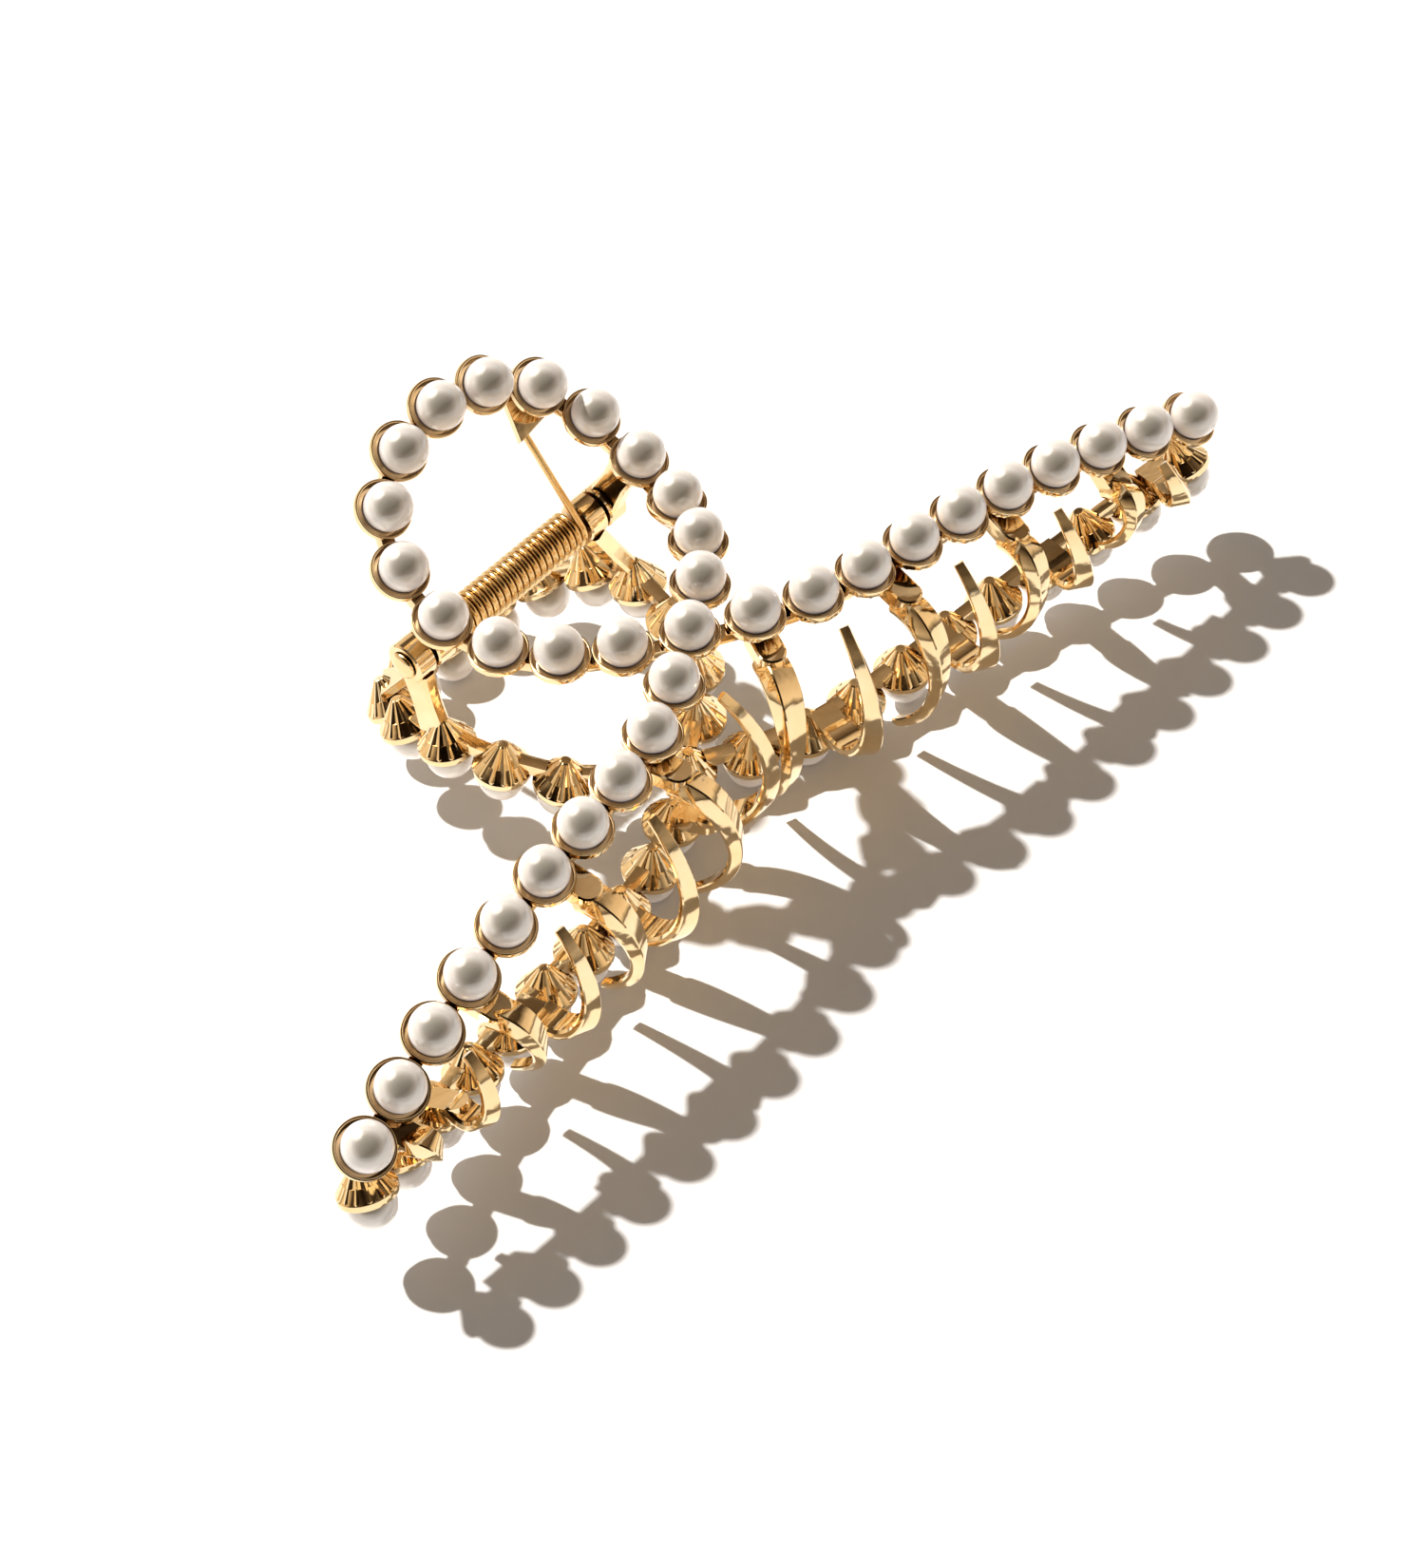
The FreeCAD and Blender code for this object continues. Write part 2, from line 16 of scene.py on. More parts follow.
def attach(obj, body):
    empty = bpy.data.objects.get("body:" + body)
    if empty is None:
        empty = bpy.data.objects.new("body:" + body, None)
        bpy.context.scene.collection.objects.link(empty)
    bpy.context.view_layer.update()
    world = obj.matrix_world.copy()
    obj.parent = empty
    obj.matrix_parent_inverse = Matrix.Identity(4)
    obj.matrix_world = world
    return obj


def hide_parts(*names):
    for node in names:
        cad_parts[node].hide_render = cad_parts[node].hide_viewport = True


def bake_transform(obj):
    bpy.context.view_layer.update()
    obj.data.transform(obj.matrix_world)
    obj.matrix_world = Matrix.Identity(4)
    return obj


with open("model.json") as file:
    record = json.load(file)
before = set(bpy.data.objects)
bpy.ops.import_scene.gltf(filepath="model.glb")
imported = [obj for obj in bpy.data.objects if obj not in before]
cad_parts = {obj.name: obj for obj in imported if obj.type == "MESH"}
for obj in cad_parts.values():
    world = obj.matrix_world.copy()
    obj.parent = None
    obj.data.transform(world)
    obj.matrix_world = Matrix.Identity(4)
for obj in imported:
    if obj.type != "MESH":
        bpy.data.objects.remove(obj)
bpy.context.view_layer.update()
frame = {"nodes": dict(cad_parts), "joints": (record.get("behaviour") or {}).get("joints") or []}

MM = 0.001
X_AXIS = Vector((1, 0, 0))
Y_AXIS = Vector((0, 1, 0))

# ------------------------------------------------------------------ sizes, millimetres
PEARL_LIFT = 1.0
RIM_RADIUS = 3.05
RIM_LAND = 0.27
RIM_BAND = 0.75
LEDGE_DROP = 0.24
LEDGE_WIDTH = 0.47
CUP_DEPTH = 3.8
CONE_TIP_RADIUS = 0.62
FLUTES = 14
FLUTE_DEPTH = 0.09
BORE_RADIUS = 1.56
SEAT_LEVEL = 1.0
BORE_LEVEL = 1.8
CUP_SEGMENTS = 56

BRIDGE_WIDTH = 1.5
BRIDGE_HEIGHT = 1.3
BRIDGE_LEVEL = 1.65
BRIDGE_START = 1.75

FIRST_TOOTH = {"right": 1.05, "left": 2.25}
TOOTH_STEP = 2.4
TEETH_PER_ARM = 4
TOOTH_DEPTH = 9.6
TOOTH_REACH = 11.0
DROP_LOSS = 0.6
REACH_LOSS = 0.82
ROOT_WIDTH = 3.6
ROOT_LOSS = 0.12
ROOT_HEIGHT = 2.2
TIP_WIDTH = 1.1
TIP_HEIGHT = 1.05
WIDTH_FALL = 1.4
TOOTH_SWELL = 0.12
TAB_RADIUS = 1.5
TAB_DROP = 3.5
TAB_LEVEL = 1.75
TAB_THICKNESS = 1.9

EYE_RADIUS = 2.3
EYE_THICKNESS = 2.4
EYE_OUTER = 14.1
EYE_INNER = 11.3
EYE_BORE = 0.95
STRAP_STEP = 4.15
STRAP_WIDTH = 3.5
STRAP_THICKNESS = 1.8
PAD_STEP = 6
PAD_LEVEL = 2.6
PAD_WIDTH = 7.0
PAD_LENGTH = 5.4
PAD_THICKNESS = 1.2

PIN_RADIUS = 0.9
PIN_HEAD_RADIUS = 1.5
PIN_HEAD_HEIGHT = 0.6
WIRE_RADIUS = 0.4
COIL_RADIUS = 1.85
COIL_TURNS = 21
COIL_HALF_LENGTH = 9.3


# ------------------------------------------------------------------ the clip's frame, from the CAD
def loose_centres(node):
    """Centre of the box of each separate ball or bead of a CAD node, in the row frame, metres."""
    mesh = bmesh.new()
    mesh.from_mesh(frame["nodes"][node].data)
    bmesh.ops.remove_doubles(mesh, verts=mesh.verts, dist=1e-6)
    seen = set()
    centres = []
    for first in mesh.verts:
        if first.index in seen:
            continue
        seen.add(first.index)
        island = [first]
        for vertex in island:
            for edge in vertex.link_edges:
                other = edge.other_vert(vertex)
                if other.index not in seen:
                    seen.add(other.index)
                    island.append(other)
        low = Vector([min(vertex.co[axis] for vertex in island) for axis in range(3)])
        high = Vector([max(vertex.co[axis] for vertex in island) for axis in range(3)])
        centres.append((low + high) / 2)
    mesh.free()
    return centres


def mean(points):
    """Average of some vectors."""
    return sum(points, Vector()) / len(points)


STRETCHES = ["left_arm", "right_arm", "loop_left", "loop_right", "crossing", "crown"]
pearls = {}
for stretch in STRETCHES:
    for jaw in ("front", "back"):
        pearls[jaw, stretch] = loose_centres(jaw + "_pearls_" + stretch)

HINGE = Vector(frame["joints"][0]["pos_m"])
all_front = [point for stretch in STRETCHES for point in pearls["front", stretch]]
all_back = [point for stretch in STRETCHES for point in pearls["back", stretch]]
across_clip = (mean(all_back) - mean(all_front)).normalized()
up_clip = X_AXIS.cross(across_clip)
TO_ROW = Matrix.Translation(HINGE) @ Matrix((X_AXIS, across_clip, up_clip)).transposed().to_4x4()
TO_CLIP = TO_ROW.inverted()
HALF_TURN = Matrix.Rotation(math.pi, 4, "Z")
PLACES = {
    "front": TO_ROW @ Matrix.Scale(MM, 4),
    "back": TO_ROW @ HALF_TURN @ Matrix.Scale(MM, 4),
}


def in_clip(points):
    """Row-frame metres to clip-frame millimetres."""
    return [(TO_CLIP @ point) / MM for point in points]


def chained(points, start):
    """The points in order along the strand, each the nearest to the one before."""
    left = list(points)
    chain = [start]
    while left:
        nearest = min(left, key=lambda point: (point - chain[-1]).length)
        left.remove(nearest)
        chain.append(nearest)
    return chain[1:]


crossing = in_clip(pearls["front", "crossing"])[0]
crown = in_clip(pearls["front", "crown"])[0]
beads = []
for stretch in ("left_arm", "right_arm", "loop"):
    beads.extend(in_clip(loose_centres("front_glue_" + stretch)))


def outward_of(centre):
    """Direction a cup opens to: from its glue bead to its pearl."""
    bead = min(beads, key=lambda point: (point - centre).length)
    return (centre - bead).normalized()


# One half strand from the crown (first) past the crossing to the end of an arm (last).
HALVES = {}
for side, arm, loop in (("right", "right_arm", "loop_left"), ("left", "left_arm", "loop_right")):
    up_loop = chained(in_clip(pearls["front", loop]), crossing)
    out_arm = chained(in_clip(pearls["front", arm]), crossing)
    HALVES[side] = [crown] + up_loop[::-1] + [crossing] + out_arm
LOOP_STEPS = len(up_loop) + 1
ARM_PEARLS = len(out_arm)
OUTWARDS = {side: [outward_of(point) for point in chain] for side, chain in HALVES.items()}


def smooth_mix(points, place):
    """Catmull-Rom value of a row of vectors at a fractional place."""
    last = len(points) - 1
    index = min(max(int(math.floor(place)), 0), last - 1)
    share = place - index
    p1 = points[index]
    p2 = points[index + 1]
    p0 = points[index - 1] if index > 0 else p1 * 2 - p2
    p3 = points[index + 2] if index + 2 <= last else p2 * 2 - p1
    linear = (p2 - p0) * 0.5
    square = p0 - p1 * 2.5 + p2 * 2 - p3 * 0.5
    cube = (p3 - p0) * 0.5 + (p1 - p2) * 1.5
    return p1 + linear * share + square * share ** 2 + cube * share ** 3


def strand_frame(step, side):
    """Pearl centre, run and outward direction `step` pearls from the crossing, below zero on the loop."""
    place = step + LOOP_STEPS
    near = 0.05
    chain = HALVES[side]
    centre = smooth_mix(chain, place)
    run = smooth_mix(chain, place + near) - smooth_mix(chain, place - near)
    run.normalize()
    outward = smooth_mix(OUTWARDS[side], place)
    outward = (outward - run * outward.dot(run)).normalized()
    return centre, run, outward


def below_rim(step, side, level):
    """Point on the cup axis at a level under the rim plane."""
    centre, run, outward = strand_frame(step, side)
    return centre - outward * (PEARL_LIFT + level)


def rim_down(step, side):
    """Downward in the plane of the rims, square to the strand's run."""
    centre, run, outward = strand_frame(step, side)
    down = run.cross(outward)
    return -down if down.z > 0 else down


# ------------------------------------------------------------------ mesh building
class Shape:
    """Vertices and faces of a piece, in clip-frame millimetres."""

    def __init__(self):
        self.points = []
        self.faces = []

    def add(self, points, faces, placement=None):
        """Adds a closed skin, moved by a placement."""
        start = len(self.points)
        for point in points:
            self.points.append(placement @ point if placement else point)
        for face in faces:
            self.faces.append([start + index for index in face])

    def loft(self, sections):
        """Adds a closed skin through rings of equally many points, with flat ends."""
        count = len(sections[0])
        points = [point for section in sections for point in section]
        faces = []
        for ring in range(len(sections) - 1):
            for index in range(count):
                following = (index + 1) % count
                low = ring * count
                high = low + count
                faces.append([low + index, low + following, high + following, high + index])
        faces.append(list(range(count))[::-1])
        last = (len(sections) - 1) * count
        faces.append([last + index for index in range(count)])
        self.add(points, faces)

    def lathe(self, outline, segments, placement=None, waves=0, depth=0.0):
        """Adds a closed skin turned about Z from (radius, height) points, both ends on the axis.

        With waves the rings are folded into that many flutes of a share of the radius.
        """
        points = [Vector((0, 0, outline[0][1]))]
        for radius, height in outline[1:-1]:
            for index in range(segments):
                angle = 2 * math.pi * index / segments
                fold = 1.0
                if waves:
                    turn = (angle * waves / (2 * math.pi)) % 1.0
                    fold = 1.0 - depth * abs(2 * turn - 1)
                points.append(Vector((radius * fold * math.cos(angle),
                                      radius * fold * math.sin(angle), height)))
        points.append(Vector((0, 0, outline[-1][1])))
        rings = len(outline) - 2
        faces = []
        for index in range(segments):
            following = (index + 1) % segments
            faces.append([0, 1 + following, 1 + index])
            for ring in range(rings - 1):
                low = 1 + ring * segments
                high = low + segments
                faces.append([low + index, low + following, high + following, high + index])
            top = 1 + (rings - 1) * segments
            faces.append([top + index, top + following, len(points) - 1])
        self.add(points, faces, placement)

    def build(self, name, place, material, sharp_angle=32.0, bevel=0.0):
        """Makes the Blender object in the row frame."""
        data = bpy.data.meshes.new(name)
        data.from_pydata([place @ point for point in self.points], [], self.faces)
        data.update()
        fixer = bmesh.new()
        fixer.from_mesh(data)
        bmesh.ops.recalc_face_normals(fixer, faces=fixer.faces)
        fixer.to_mesh(data)
        fixer.free()
        for polygon in data.polygons:
            polygon.use_smooth = True
        data.set_sharp_from_angle(angle=math.radians(sharp_angle))
        data.materials.append(material)
        piece = bpy.data.objects.new(name, data)
        bpy.context.scene.collection.objects.link(piece)
        if bevel:
            rounding = piece.modifiers.new("rounded_edges", "BEVEL")
            rounding.width = bevel * MM
            rounding.segments = 2
            rounding.limit_method = "ANGLE"
            rounding.angle_limit = math.radians(38)
            rounding.harden_normals = True
        return piece


def axes_placement(origin, x_way, y_way, z_way):
    """Placement whose axes are three given directions."""
    turn = Matrix((x_way, y_way, z_way)).transposed().to_4x4()
    return Matrix.Translation(origin) @ turn


def rounded_bar(start, end, width, height, up, corner=0.28):
    """Rings of a bar with rounded corners between two points."""
    along = (end - start).normalized()
    across = up.cross(along).normalized()
    upward = along.cross(across)
    rings = []
    for point, shrink in ((start, 0.0), (end, 0.0)):
        ring = []
        for turn in range(12):
            angle = 2 * math.pi * (turn + 0.5) / 12
            side_share = math.copysign(min(abs(math.cos(angle)) * 1.35, 1.0), math.cos(angle))
            up_share = math.copysign(min(abs(math.sin(angle)) * 1.35, 1.0), math.sin(angle))
            ring.append(point + across * (side_share * width / 2) + upward * (up_share * height / 2))
        rings.append(ring)
    return rings


# ------------------------------------------------------------------ materials
def new_material(name):
    """A material, its node tree and its principled node."""
    material = bpy.data.materials.new(name)
    material.use_nodes = True
    tree = material.node_tree
    return material, tree, tree.nodes["Principled BSDF"]


def noise(tree, scale, detail=4.0, coordinates="Object"):
    """A noise texture in object space; scale is in repeats per metre."""
    place = tree.nodes.new("ShaderNodeTexCoord")
    node = tree.nodes.new("ShaderNodeTexNoise")
    node.inputs["Scale"].default_value = scale
    node.inputs["Detail"].default_value = detail
    tree.links.new(place.outputs[coordinates], node.inputs["Vector"])
    return node.outputs["Fac"]


def ramp(tree, source, stops):
    """A colour ramp over a value; stops are (place, colour)."""
    node = tree.nodes.new("ShaderNodeValToRGB")
    elements = node.color_ramp.elements
    while len(elements) < len(stops):
        elements.new(0.5)
    for element, (place, colour) in zip(elements, stops):
        element.position = place
        element.color = (*colour, 1.0)
    tree.links.new(source, node.inputs["Fac"])
    return node.outputs["Color"]


def mapped(tree, source, low, high):
    """A value from 0..1 mapped to low..high."""
    node = tree.nodes.new("ShaderNodeMapRange")
    node.inputs["To Min"].default_value = low
    node.inputs["To Max"].default_value = high
    tree.links.new(source, node.inputs["Value"])
    return node.outputs["Result"]


def multiplied(tree, first, second, share=1.0):
    """Two colours multiplied."""
    node = tree.nodes.new("ShaderNodeMixRGB")
    node.blend_type = "MULTIPLY"
    node.inputs["Fac"].default_value = share
    tree.links.new(first, node.inputs["Color1"])
    tree.links.new(second, node.inputs["Color2"])
    return node.outputs["Color"]


def bumped(tree, shader, height, strength, distance):
    """Feeds a height into a shader's normal."""
    node = tree.nodes.new("ShaderNodeBump")
    node.inputs["Strength"].default_value = strength
    node.inputs["Distance"].default_value = distance
    tree.links.new(height, node.inputs["Height"])
    tree.links.new(node.outputs["Normal"], shader.inputs["Normal"])


def gold_material(name, light, deep, roughness):
    """Polished gold plating: drifting tone, painted shade that darkens the crevices, and a slightly uneven
    skin.
    """
    material, tree, shader = new_material(name)
    tone = ramp(tree, noise(tree, 260.0), [(0.3, deep), (0.7, light)])
    # Painted shade: an ambient-occlusion ramp darkens the base colour to brown in crevices and hollows
    # between parts.
    shade = tree.nodes.new("ShaderNodeAmbientOcclusion")
    shade.inputs["Distance"].default_value = 2.0 * MM
    shade.samples = 4
    painted_crevice_shade = ramp(tree, shade.outputs["AO"], [(0.08, (0.20, 0.10, 0.04)), (0.8, (1.0, 1.0, 1.0))])
    tree.links.new(multiplied(tree, tone, painted_crevice_shade, 0.92), shader.inputs["Base Color"])
    shader.inputs["Metallic"].default_value = 1.0
    low, high = roughness
    tree.links.new(mapped(tree, noise(tree, 900.0), low, high), shader.inputs["Roughness"])
    bumped(tree, shader, noise(tree, 420.0, 2.0), 0.35, 0.12 * MM)
    return material


def pearl_material():
    """Pearlescent lacquer under a gloss coat: grey seen square on, a painted dark reflection; cream to rose
    at the rim, partly its own colour and partly painted bounce light.
    """
    material, tree, shader = new_material("nacre")
    facing = tree.nodes.new("ShaderNodeLayerWeight")
    facing.inputs["Blend"].default_value = 0.5
    # Painted reflection: the facing ramp greys the middle of each pearl as if it mirrored a dark room, and
    # brightens the rim as painted bounce light.
    body = ramp(tree, facing.outputs["Facing"], [
        (0.0, (0.45, 0.42, 0.35)),
        (0.08, (0.55, 0.51, 0.44)),
        (0.22, (0.93, 0.89, 0.83)),
        (0.70, (1.0, 0.93, 0.87)),
        (1.0, (0.98, 0.86, 0.84)),
    ])
    clouds = ramp(tree, noise(tree, 700.0), [(0.3, (0.975, 0.965, 0.98)), (0.7, (1.0, 1.0, 0.99))])
    tree.links.new(multiplied(tree, body, clouds), shader.inputs["Base Color"])
    tree.links.new(mapped(tree, noise(tree, 1500.0), 0.26, 0.32), shader.inputs["Roughness"])
    # Painted glow: emission at the rim stands in for light bounced from the table and through the nacre.
    painted_rim_glow = ramp(tree, facing.outputs["Facing"], [(0.3, (0.0, 0.0, 0.0)), (1.0, (1.0, 0.90, 0.86))])
    tree.links.new(painted_rim_glow, shader.inputs["Emission Color"])
    shader.inputs["Emission Strength"].default_value = 0.26
    shader.inputs["Subsurface Weight"].default_value = 0.2
    shader.inputs["Subsurface Radius"].default_value = (0.0012, 0.0010, 0.0009)
    shader.inputs["Coat Weight"].default_value = 1.0
    shader.inputs["Coat IOR"].default_value = 1.75
    shader.inputs["Coat Roughness"].default_value = 0.05
    bumped(tree, shader, noise(tree, 2600.0), 0.03, 0.02 * MM)
    return material


def glue_material():
    """Clear adhesive gone slightly yellow, with small bubbles."""
    material, tree, shader = new_material("hard_glue")
    tone = ramp(tree, noise(tree, 2200.0), [(0.35, (0.80, 0.72, 0.52)), (0.7, (0.92, 0.87, 0.72))])
    tree.links.new(tone, shader.inputs["Base Color"])
    shader.inputs["Roughness"].default_value = 0.3
    shader.inputs["Transmission Weight"].default_value = 0.4
    bumped(tree, shader, noise(tree, 3000.0), 0.3, 0.05 * MM)
    return material


GOLD = gold_material("gold_plating", (1.0, 0.80, 0.50), (0.94, 0.69, 0.37), (0.05, 0.13))
WIRE_GOLD = gold_material("gold_wire", (0.95, 0.70, 0.36), (0.84, 0.56, 0.24), (0.12, 0.24))
PIN_GOLD = gold_material("pin_gold", (0.97, 0.76, 0.44), (0.88, 0.64, 0.32), (0.10, 0.2))
NACRE = pearl_material()
GLUE = glue_material()


# ------------------------------------------------------------------ pieces of one jaw
def cup_places():
    """Placement of every cup, with Z opening outwards and the origin in the rim plane."""
    places = []
    for side in ("right", "left"):
        first = -LOOP_STEPS if side == "right" else -LOOP_STEPS + 1
        for step in range(first, ARM_PEARLS + 1):
            if step == 0 and side == "left":
                continue
            centre, run, outward = strand_frame(step, side)
            across = outward.cross(run)
            places.append(axes_placement(centre - outward * PEARL_LIFT, run, across, outward))
    return places


def cup_body_outline():
    """Half section of a cup's rim, ledge, seat and bore, closed underneath, from the rim plane."""
    ledge = RIM_RADIUS - RIM_LAND
    seat = ledge - LEDGE_WIDTH
    rounding = 0.07
    return [
        (0, -BORE_LEVEL),
        (BORE_RADIUS, -BORE_LEVEL),
        (BORE_RADIUS, -SEAT_LEVEL),
        (seat, -LEDGE_DROP - 0.06),
        (seat + 0.04, -LEDGE_DROP),
        (ledge - 0.05, -LEDGE_DROP),
        (ledge, -LEDGE_DROP + 0.05),
        (ledge, -rounding),
        (ledge + rounding * 0.4, -rounding * 0.3),
        (ledge + rounding, 0),
        (RIM_RADIUS - rounding, 0),
        (RIM_RADIUS - rounding * 0.3, -rounding * 0.3),
        (RIM_RADIUS, -rounding),
        (RIM_RADIUS, -RIM_BAND + 0.1),
        (RIM_RADIUS - 0.1, -RIM_BAND),
        (BORE_RADIUS + 0.5, -BORE_LEVEL - 0.1),
        (0, -BORE_LEVEL - 0.2),
    ]


def cone_outline():
    """Half section of the fluted cone behind a cup, its top dipping under the bore."""
    return [
        (0, -BORE_LEVEL - 0.05),
        (BORE_RADIUS + 0.2, -BORE_LEVEL + 0.1),
        (RIM_RADIUS - 0.25, -RIM_BAND + 0.02),
        (RIM_RADIUS - 0.02, -RIM_BAND + 0.05),
        (RIM_RADIUS - 0.06, -RIM_BAND - 0.1),
        (CONE_TIP_RADIUS + 0.05, -CUP_DEPTH + 0.12),
        (CONE_TIP_RADIUS - 0.1, -CUP_DEPTH + 0.02),
        (0, -CUP_DEPTH),
    ]


def cups_shape():
    """All the cups of a jaw."""
    shape = Shape()
    for placement in CUP_PLACES:
        shape.lathe(cup_body_outline(), CUP_SEGMENTS, placement)
    return shape


def cones_shape():
    """The fluted cones behind the cups."""
    shape = Shape()
    for placement in CUP_PLACES:
        shape.lathe(cone_outline(), FLUTES * 4, placement, FLUTES, FLUTE_DEPTH)
    return shape


def bridges_shape():
    """Short bars from each cup to the next."""
    shape = Shape()
    for side in ("right", "left"):
        for step in range(-LOOP_STEPS, ARM_PEARLS):
            first = below_rim(step, side, BRIDGE_LEVEL)
            second = below_rim(step + 1, side, BRIDGE_LEVEL)
            along = (second - first).normalized()
            up = strand_frame(step + 0.5, side)[2]
            start = first + along * BRIDGE_START
            end = second - along * BRIDGE_START
            shape.loft(rounded_bar(start, end, BRIDGE_WIDTH, BRIDGE_HEIGHT, up))
    return shape


def tooth_places():
    """Step and side of every tooth."""
    places = []
    for side, first in FIRST_TOOTH.items():
        for index in range(TEETH_PER_ARM):
            places.append((first + index * TOOTH_STEP, side))
    return places


def bezier(poles, share):
    """Point of a cubic curve."""
    rest = 1 - share
    return (poles[0] * rest ** 3 + poles[1] * (3 * rest ** 2 * share)
            + poles[2] * (3 * rest * share ** 2) + poles[3] * share ** 3)


def tooth_poles(step, side):
    """Control points of a tooth's curve and the direction across it."""
    strand, run, outward = strand_frame(step, side)
    inward = (Y_AXIS - run * run.y).normalized()
    down = run.cross(inward)
    if down.z > 0:
        down = -down
    reach_end = abs(HALVES[side][-1].x)
    fall = (strand.x / reach_end) ** 2
    drop = TOOTH_DEPTH * (1 - DROP_LOSS * fall)
    reach = TOOTH_REACH * (1 - REACH_LOSS * fall) - strand.y
    root = below_rim(step, side, TAB_LEVEL + TAB_THICKNESS * 0.85) + rim_down(step, side) * (TAB_DROP - 0.6)
    poles = [
        root,
        strand + inward * (0.12 * reach) + down * drop,
        strand + inward * (0.62 * reach) + down * (1.5 * drop),
        strand + inward * reach + down * (0.5 * drop),
    ]
    return poles, inward.cross(down), fall


# Outline of a tooth's section: share of half its width, share of its height, ridge outside.
# Rim of a tooth's section, as shares of its half width and of its height.
TOOTH_RIM = [
    (-0.95, -0.38), (-0.78, -0.5), (0.78, -0.5), (0.95, -0.38), (1.0, -0.16), (0.93, -0.04),
]
TOOTH_RIDGE = 0.4
RIDGE_HEIGHT = 0.42


def tooth_section(ridge):
    """Closed outline of a tooth: flat inside, two facets outside that meet at the ridge."""
    facets = [(ridge + 0.1, RIDGE_HEIGHT - 0.03), (ridge, RIDGE_HEIGHT), (ridge - 0.1, RIDGE_HEIGHT - 0.03)]
    return TOOTH_RIM + facets + [(-0.93, -0.04), (-1.0, -0.16)]


def teeth_shape():
    """The hooked teeth: wide and ridged at the root, thinning to a blunt square end."""
    shape = Shape()
    rings = 26
    for step, side in tooth_places():
        poles, side_way, fall = tooth_poles(step, side)
        root_width = ROOT_WIDTH * (1 - ROOT_LOSS * fall)
        ridge = -math.copysign(TOOTH_RIDGE, side_way.x)
        sections = []
        for index in range(rings + 1):
            share = index / rings
            point = bezier(poles, share)
            along = (bezier(poles, share + 0.01) - bezier(poles, share - 0.01)).normalized()
            outside = side_way.cross(along).normalized()
            swell = 1 + TOOTH_SWELL * math.sin(math.pi * min(share * 1.6, 1.0))
            width = (root_width + (TIP_WIDTH - root_width) * share ** WIDTH_FALL) * swell
            height = (ROOT_HEIGHT + (TIP_HEIGHT - ROOT_HEIGHT) * share) * swell
            sections.append([point + side_way * (width / 2 * across) + outside * (height * up)
                             for across, up in tooth_section(ridge)])
        shape.loft(sections)
    return shape


def tabs_shape():
    """Tongues under the cups that carry the teeth, rounded at their free end."""
    shape = Shape()
    for step, side in tooth_places():
        centre, run, outward = strand_frame(step, side)
        down = rim_down(step, side)
        front = below_rim(step, side, TAB_LEVEL)
        outline = [(-1.0, 0.3), (-1.0, TAB_DROP)]
        corners = 12
        for index in range(1, corners):
            angle = math.pi * index / corners
            outline.append((-math.cos(angle), TAB_DROP + TAB_RADIUS * math.sin(angle)))
        outline += [(1.0, TAB_DROP), (1.0, 0.3)]
        sections = []
        for depth, grow in ((0.0, 0.86), (0.14, 1.0), (TAB_THICKNESS, 1.0)):
            sections.append([front - outward * depth + run * (across * TAB_RADIUS * grow)
                             + down * (TAB_DROP + (drop - TAB_DROP) * (grow if drop > TAB_DROP else 1))
                             for across, drop in outline])
        shape.loft(sections)
    return shape


def ring_outline_x(shape, middle, outer, inner, thickness, segments=48):
    """A flat ring round the pin with slightly rounded edges."""
    edge = 0.18
    half = thickness / 2
    profile = [(inner, -half), (outer - edge, -half), (outer, -half + edge),
               (outer, half - edge), (outer - edge, half), (inner, half)]
    points = []
    for index in range(segments):
        angle = 2 * math.pi * index / segments
        for radius, along in profile:
            points.append(Vector((middle + along, radius * math.cos(angle), radius * math.sin(angle))))
    count = len(profile)
    faces = []
    for index in range(segments):
        low = index * count
        high = ((index + 1) % segments) * count
        for corner in range(count):
            following = (corner + 1) % count
            faces.append([low + corner, low + following, high + following, high + corner])
    shape.add(points, faces)


def lugs_shape():
    """Hinge eyes and the straps that tie them to the side of the loop."""
    shape = Shape()
    for middle, side in ((EYE_OUTER, "left"), (-EYE_INNER, "right")):
        ring_outline_x(shape, middle, EYE_RADIUS, EYE_BORE, EYE_THICKNESS)
        foot = below_rim(-STRAP_STEP, side, BRIDGE_LEVEL + 0.45)
        towards = Vector((0, foot.y, foot.z)).normalized()
        start = Vector((middle, 0, 0)) + towards * (EYE_RADIUS * 0.75)
        along = (foot - start).normalized()
        wide = X_AXIS.cross(along).normalized()
        thin = along.cross(wide)
        sections = []
        for share in (0.0, 0.12, 0.5, 0.88, 1.0):
            point = start + (foot - start) * share
            width = STRAP_WIDTH * (1.08 - 0.2 * math.sin(math.pi * share))
            thick = STRAP_THICKNESS
            outline = [(-1.0, -0.6), (-0.8, -1.0), (0.8, -1.0), (1.0, -0.6),
                       (1.0, 0.6), (0.8, 1.0), (-0.8, 1.0), (-1.0, 0.6)]
            sections.append([point + wide * (across * width / 2) + thin * (up * thick / 2)
                             for across, up in outline])
        shape.loft(sections)
    return shape


